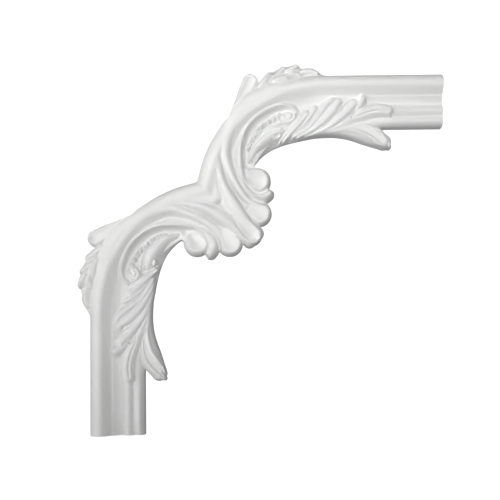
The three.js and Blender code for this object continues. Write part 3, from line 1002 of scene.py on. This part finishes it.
@dataclass
class CornerCasting:
    """The whole casting: both halves' relief as one closed mesh with a flat back.

    Attributes:
        module: One module in metres.
        step: One step of height in metres.
        cell: The size of the mesh's cells in metres.
        margin: How far the grid runs past the outermost leaf, in modules.
        softness: How far paint softens the relief, in cells.
        crease: The angle from which an edge stays sharp.
        spare_lines: How many grid lines there are past the wall's run beyond the arms' ends.
        wall: The wall along the outline.
        moulding: The plain moulding.
        forms: The carved forms, in the order in which they are laid.
    """

    module: float = 0.040 / 54
    step: float = 0.020 / 20
    cell: float = 0.0005
    margin: float = 18.0
    softness: float = 0.75
    crease: float = math.radians(62)
    spare_lines: int = 3
    wall: EdgeWall = EdgeWall()
    moulding: PlainMoulding = PlainMoulding()
    forms: tuple[Any, ...] = (OuterLeaves(), ShellFolds(), Scroll(), CuspLobes(), ArmSpray())

    def relief(self) -> tuple[ReliefField, int]:
        """Carves one half and mirrors it about the diagonal.

        Returns:
            The relief of both halves, and the number of the grid line on which the arms end.
        """
        spacing = self.cell / self.module
        end_line = math.ceil((self.moulding.arm_end + self.margin) / spacing)
        beyond = math.ceil(self.wall.run / spacing) + self.spare_lines
        start = self.moulding.arm_end - end_line * spacing
        relief = ReliefField(start, end_line + beyond + 1, spacing)
        self.moulding.carve(relief)
        for form in self.forms:
            form.carve(relief)
            log.info("%s carved", type(form).__name__)
        relief.height = np.maximum(relief.height, relief.height.T)
        relief.inset = np.maximum(relief.inset, relief.inset.T)
        return relief, end_line

    def finish(self, relief: ReliefField) -> None:
        """Softens the relief and lets the wall along its outline cap it.

        Args:
            relief: The relief of both halves.
        """
        whole = cut_outline(relief, relief.height.shape[0])
        distance = self.wall.distances(relief, whole)
        softened = blurred(np.maximum(relief.height, 0), self.softness)
        relief.height = np.minimum(softened, self.wall.height(distance))

    def build(self) -> bpy.types.Object:
        """Makes the casting's mesh.

        Returns:
            The casting, in the part's frame.
        """
        relief, end_line = self.relief()
        self.finish(relief)
        plan = cut_outline(relief, end_line + 1)
        arm_tip = cad_box[1][0]
        kept = slice(end_line + 1), slice(end_line + 1)
        heights = np.full(len(plan.places), self.wall.foot)
        heights[~plan.on_rim] = relief.height[kept][relief.inset[kept] > 0]
        from_end = (self.moulding.arm_end - plan.places) * self.module
        across, upward = arm_tip - from_end[:, 0], from_end[:, 1] - arm_tip
        front = np.stack([across, -heights * self.step, upward], 1)
        log.info("front of %d places, %d triangles", len(front), len(plan.faces))
        return self.close(front, plan.faces)

    def close(self, front: np.ndarray, faces: np.ndarray) -> bpy.types.Object:
        """Adds the side walls and the flat back to the front.

        Args:
            front: The front's points.
            faces: Its triangles.

        Returns:
            The closed casting.
        """
        sides = np.concatenate([faces[:, [0, 1]], faces[:, [1, 2]], faces[:, [2, 0]]])
        ordered = np.sort(sides, 1)
        _, first, times = np.unique(ordered, axis=0, return_index=True, return_counts=True)
        rim = sides[first[times == 1]]
        onward = dict(rim.tolist())
        loops = []
        while onward:
            start, here = next(iter(onward.items()))
            loop = [start]
            del onward[start]
            while here != start:
                loop.append(here)
                here = onward.pop(here)
            loops.append(loop)
        log.info("%d outline of %s places", len(loops), [len(loop) for loop in loops])
        rim_places = [place for loop in loops for place in loop]
        back_of = {place: len(front) + i for i, place in enumerate(rim_places)}
        back = front[rim_places] * (1, 0, 1)
        walls = [(b, a, back_of[a], back_of[b]) for a, b in rim.tolist()]
        flat_loops = [[Vector((front[place][0], front[place][2], 0)) for place in loop] for loop in loops]
        cap = tessellate_polygon(flat_loops)
        flat = [tuple(len(front) + corner for corner in triangle) for triangle in cap]
        mesh = bpy.data.meshes.new("carved_corner")
        mesh.from_pydata([*front, *back], [], [*faces.tolist(), *walls, *flat])
        mesh.shade_smooth()
        mesh.set_sharp_from_angle(angle=self.crease)
        mesh.validate()
        casting = bpy.data.objects.new("carved_corner", mesh)
        bpy.context.scene.collection.objects.link(casting)
        return casting


# Finish


class Shade:
    """A node's output that takes part in Python expressions."""

    def __init__(self, nodes: "Finish", socket: bpy.types.NodeSocket) -> None:
        """Keeps the socket and the tree that it belongs to."""
        self.nodes = nodes
        self.socket = socket

    def _maths(self, operation: str, first: Any, second: Any) -> "Shade":
        """Adds one Math node for an operation on two values."""
        return self.nodes.add("ShaderNodeMath", {"operation": operation}, {0: first, 1: second})

    def __add__(self, other: Any) -> "Shade":
        """Adds a value."""
        return self._maths("ADD", self, other)

    __radd__ = __add__

    def __sub__(self, other: Any) -> "Shade":
        """Takes a value away."""
        return self._maths("SUBTRACT", self, other)

    def __rsub__(self, other: Any) -> "Shade":
        """Takes this away from a value."""
        return self._maths("SUBTRACT", other, self)

    def __mul__(self, other: Any) -> "Shade":
        """Multiplies by a value."""
        return self._maths("MULTIPLY", self, other)

    __rmul__ = __mul__


class Finish:
    """A material's nodes, with one method that adds any of them."""

    def __init__(self, name: str) -> None:
        """Starts an empty material.

        Args:
            name: The material's name.
        """
        self.material = bpy.data.materials.new(name)
        self.material.use_nodes = True
        self.tree = self.material.node_tree
        self.tree.nodes.clear()

    def add(self, kind: str, settings: dict[str, Any] | None = None,
            inputs: dict[int | str, Any] | None = None, output: int | str = 0) -> Shade:
        """Adds one node.

        Args:
            kind: The node's type.
            settings: Its settings, which are set first.
            inputs: Values or links for its sockets, by name or place.
            output: Which of its outputs is given back.

        Returns:
            The output.
        """
        node = self.tree.nodes.new(kind)
        for name, value in (settings or {}).items():
            setattr(node, name, value)
        for name, value in (inputs or {}).items():
            if isinstance(value, Shade):
                self.tree.links.new(value.socket, node.inputs[name])
            else:
                node.inputs[name].default_value = value
        return Shade(self, node.outputs[output])

    def close(self, shader: Shade) -> None:
        """Makes a shader the material's surface."""
        end = self.tree.nodes.new("ShaderNodeOutputMaterial")
        self.tree.links.new(shader.socket, end.inputs["Surface"])


@dataclass(frozen=True)
class PrimedWhite:
    """White primer, sprayed in satin on a smooth casting.

    Attributes:
        tint: The primer's colour.
        shade: Its colour where the coat is a little thicker.
        roughness: Its mean roughness.
        unevenness: How much the roughness varies.
        patch: The size of the patches of thicker coat, in metres.
        grain: The size of the spray's grain, in metres.
        grain_depth: How deep the grain is, in metres.
        ripple: The size of the casting's faint ripples, in metres.
        ripple_depth: How deep the ripples are, in metres.
        specular: The strength of its gloss.
        coat_detail: How many finer layers the patches of thicker coat have.
        fine_detail: How many finer layers the grain and the ripples have.
    """

    tint: tuple[float, float, float, float] = (0.86, 0.86, 0.855, 1.0)
    shade: tuple[float, float, float, float] = (0.82, 0.82, 0.81, 1.0)
    roughness: float = 0.5
    unevenness: float = 0.1
    patch: float = 0.03
    grain: float = 0.0007
    grain_depth: float = 0.000012
    ripple: float = 0.006
    ripple_depth: float = 0.00004
    specular: float = 0.35
    coat_detail: float = 3.0
    fine_detail: float = 2.0

    def material(self) -> bpy.types.Material:
        """Builds the finish.

        Returns:
            The material.
        """
        finish = Finish("primed_white")
        place = finish.add("ShaderNodeTexCoord", output="Object")

        def cloud(size: float, detail: float) -> Shade:
            """Adds a soft noise.

            Args:
                size: The size of its patches in metres.
                detail: How many finer layers it has.

            Returns:
                Its strength, from 0 to 1.
            """
            return finish.add("ShaderNodeTexNoise", {"noise_dimensions": "3D"},
                              {"Vector": place, "Scale": 1 / size, "Detail": detail, "Roughness": 0.5})

        coat = cloud(self.patch, self.coat_detail)
        grain = cloud(self.grain, self.fine_detail)
        ripples = cloud(self.ripple, self.fine_detail)
        colour = finish.add("ShaderNodeMix", {"data_type": "RGBA"},
                            {0: coat, 6: self.tint, 7: self.shade}, output=2)
        roughness = (self.roughness + (coat - 0.5) * self.unevenness
                     + (grain - 0.5) * self.unevenness)
        relief = grain * self.grain_depth + ripples * self.ripple_depth
        normal = finish.add("ShaderNodeBump", None,
                            {"Strength": 1.0, "Distance": 1.0, "Height": relief})
        paint = finish.add("ShaderNodeBsdfPrincipled", None, {
            "Base Color": colour, "Roughness": roughness, "Normal": normal,
            "Specular IOR Level": self.specular,
        })
        finish.close(paint)
        return finish.material


# Studio


@dataclass(frozen=True)
class SoftBox:
    """One soft square light.

    Attributes:
        name: Its name.
        place: Where it stands, in metres from the camera's aim.
        size: Its side in metres.
        power: Its power in watts.
        target: The point it faces, in metres from the camera's aim.
        spread: The angle over which its light spreads.
    """

    name: str
    place: tuple[float, float, float]
    size: float
    power: float
    target: tuple[float, float, float] = (0.0, 0.0, 0.0)
    spread: float = math.pi

    def light(self, aim: Vector) -> None:
        """Puts up the light.

        Args:
            aim: The point that the camera aims at.
        """
        lamp = bpy.data.lights.new(self.name, "AREA")
        lamp.shape = "SQUARE"
        lamp.size = self.size
        lamp.energy = self.power
        lamp.spread = self.spread
        holder = bpy.data.objects.new(self.name, lamp)
        holder.location = aim + Vector(self.place)
        backward = Vector(self.place) - Vector(self.target)
        holder.rotation_euler = backward.to_track_quat("Z", "Y").to_euler()
        bpy.context.scene.collection.objects.link(holder)


@dataclass(frozen=True)
class Studio:
    """A pale floor and backdrop, soft light and the camera.

    Attributes:
        aim: The point of the casting that lies in the middle of the picture, in metres.
        tilt: How far the camera looks up.
        turn: How far the camera stands to the left of square on.
        roll: How far it is rolled.
        distance: How far it stands from the wall, in metres.
        width: The width that it sees at the wall, in metres.
        floor_drop: How far the floor lies below the aim.
        backdrop_gap: How far the backdrop stands behind the wall plane.
        stage_size: The size of the floor and the backdrop.
        ambient: The strength of the light from all round.
        sensor: The width of the camera's sensor, in millimetres.
        farthest: The farthest that the camera sees.
        floor_tone: The grey of the floor.
        floor_roughness: The roughness of the floor.
        backdrop_strength: How brightly the backdrop shows.
        lights: The soft lights.
    """

    aim: tuple[float, float, float] = (0.0184, 0.0, -0.0299)
    tilt: float = math.radians(5.43)
    turn: float = math.radians(1.37)
    roll: float = math.radians(0.97)
    distance: float = 0.752
    width: float = 0.3712
    floor_drop: float = 0.6
    backdrop_gap: float = 1.4
    stage_size: float = 8.0
    ambient: float = 0.27
    sensor: float = 36.0
    farthest: float = 30.0
    floor_tone: float = 0.9
    floor_roughness: float = 0.8
    backdrop_strength: float = 1.2
    lights: tuple[SoftBox, ...] = (
        SoftBox("front_light", (-0.2, -1.6, 0.1), 0.5, 0.52, (0.0, 0.0, 0.14), math.radians(24)),
        SoftBox("left_light", (-1.5, -0.7, 0.1), 0.9, 0.72, (0.0, 0.0, 0.13), math.radians(33)),
        SoftBox("near_light", (-0.15, -0.3, 0.12), 0.25, 0.06),
    )

    def camera(self) -> None:
        """Sets up the camera at the photograph's angle."""
        lens = bpy.data.cameras.new("camera")
        lens.sensor_width = self.sensor
        lens.lens = lens.sensor_width * self.distance / self.width
        lens.clip_end = self.farthest
        eye = bpy.data.objects.new("camera", lens)
        toward = Vector((-math.sin(self.turn) * math.cos(self.tilt),
                         -math.cos(self.turn) * math.cos(self.tilt), -math.sin(self.tilt)))
        eye.location = Vector(self.aim) + toward * self.distance
        turned = toward.to_track_quat("Z", "Y")
        eye.rotation_euler = (turned @ Quaternion((0, 0, 1), -self.roll)).to_euler()
        bpy.context.scene.collection.objects.link(eye)
        bpy.context.scene.camera = eye

    def plate(self, name: str, corners: Sequence[tuple[float, float, float]],
              material: bpy.types.Material) -> bpy.types.Object:
        """Adds a flat plate of the stage.

        Args:
            name: Its name.
            corners: Its four corners.
            material: Its finish.

        Returns:
            The plate.
        """
        mesh = bpy.data.meshes.new(name)
        middle = Vector(self.aim)
        mesh.from_pydata([middle + Vector(corner) for corner in corners], [], [(0, 1, 2, 3)])
        mesh.materials.append(material)
        plate = bpy.data.objects.new(name, mesh)
        bpy.context.scene.collection.objects.link(plate)
        plate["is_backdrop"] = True
        return plate

    def set_up(self) -> None:
        """Puts up the stage, the lights and the camera."""
        half, drop, gap = self.stage_size / 2, self.floor_drop, self.backdrop_gap
        tone = self.floor_tone
        floor = Finish("pale_floor")
        floor.close(floor.add("ShaderNodeBsdfPrincipled", None, {
            "Base Color": (tone, tone, tone, 1.0), "Roughness": self.floor_roughness}))
        backdrop = Finish("white_backdrop")
        backdrop.close(backdrop.add("ShaderNodeEmission", None, {
            "Color": (1, 1, 1, 1), "Strength": self.backdrop_strength}))
        level = [(-half, -half, -drop), (half, -half, -drop), (half, gap, -drop), (-half, gap, -drop)]
        self.plate("floor", level, floor.material)
        upright = [(-half, gap, -drop), (half, gap, -drop), (half, gap, half), (-half, gap, half)]
        behind = self.plate("backdrop", upright, backdrop.material)
        behind.visible_diffuse = False
        behind.visible_glossy = False
        for light in self.lights:
            light.light(Vector(self.aim))
        world = bpy.data.worlds.new("soft_surround")
        world.use_nodes = True
        around = world.node_tree.nodes["Background"]
        around.inputs["Color"].default_value = (1, 1, 1, 1)
        around.inputs["Strength"].default_value = self.ambient
        bpy.context.scene.world = world
        bpy.context.scene.view_settings.view_transform = "Standard"
        self.camera()


def main() -> None:
    """Builds the casting, dresses it and sets up the studio."""
    logging.basicConfig(level=logging.INFO, format="%(name)s: %(message)s")
    casting = CornerCasting().build()
    casting.data.materials.append(PrimedWhite().material())
    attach(casting, "root")
    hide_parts("moulding_corner")
    log.info("%s: %d faces", casting.name, len(casting.data.polygons))
    Studio().set_up()
    log.info("studio set up")
    sizes = [[list(corner) for corner in box] for box in (cad_box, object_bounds())]


if __name__ == "__main__":
    main()
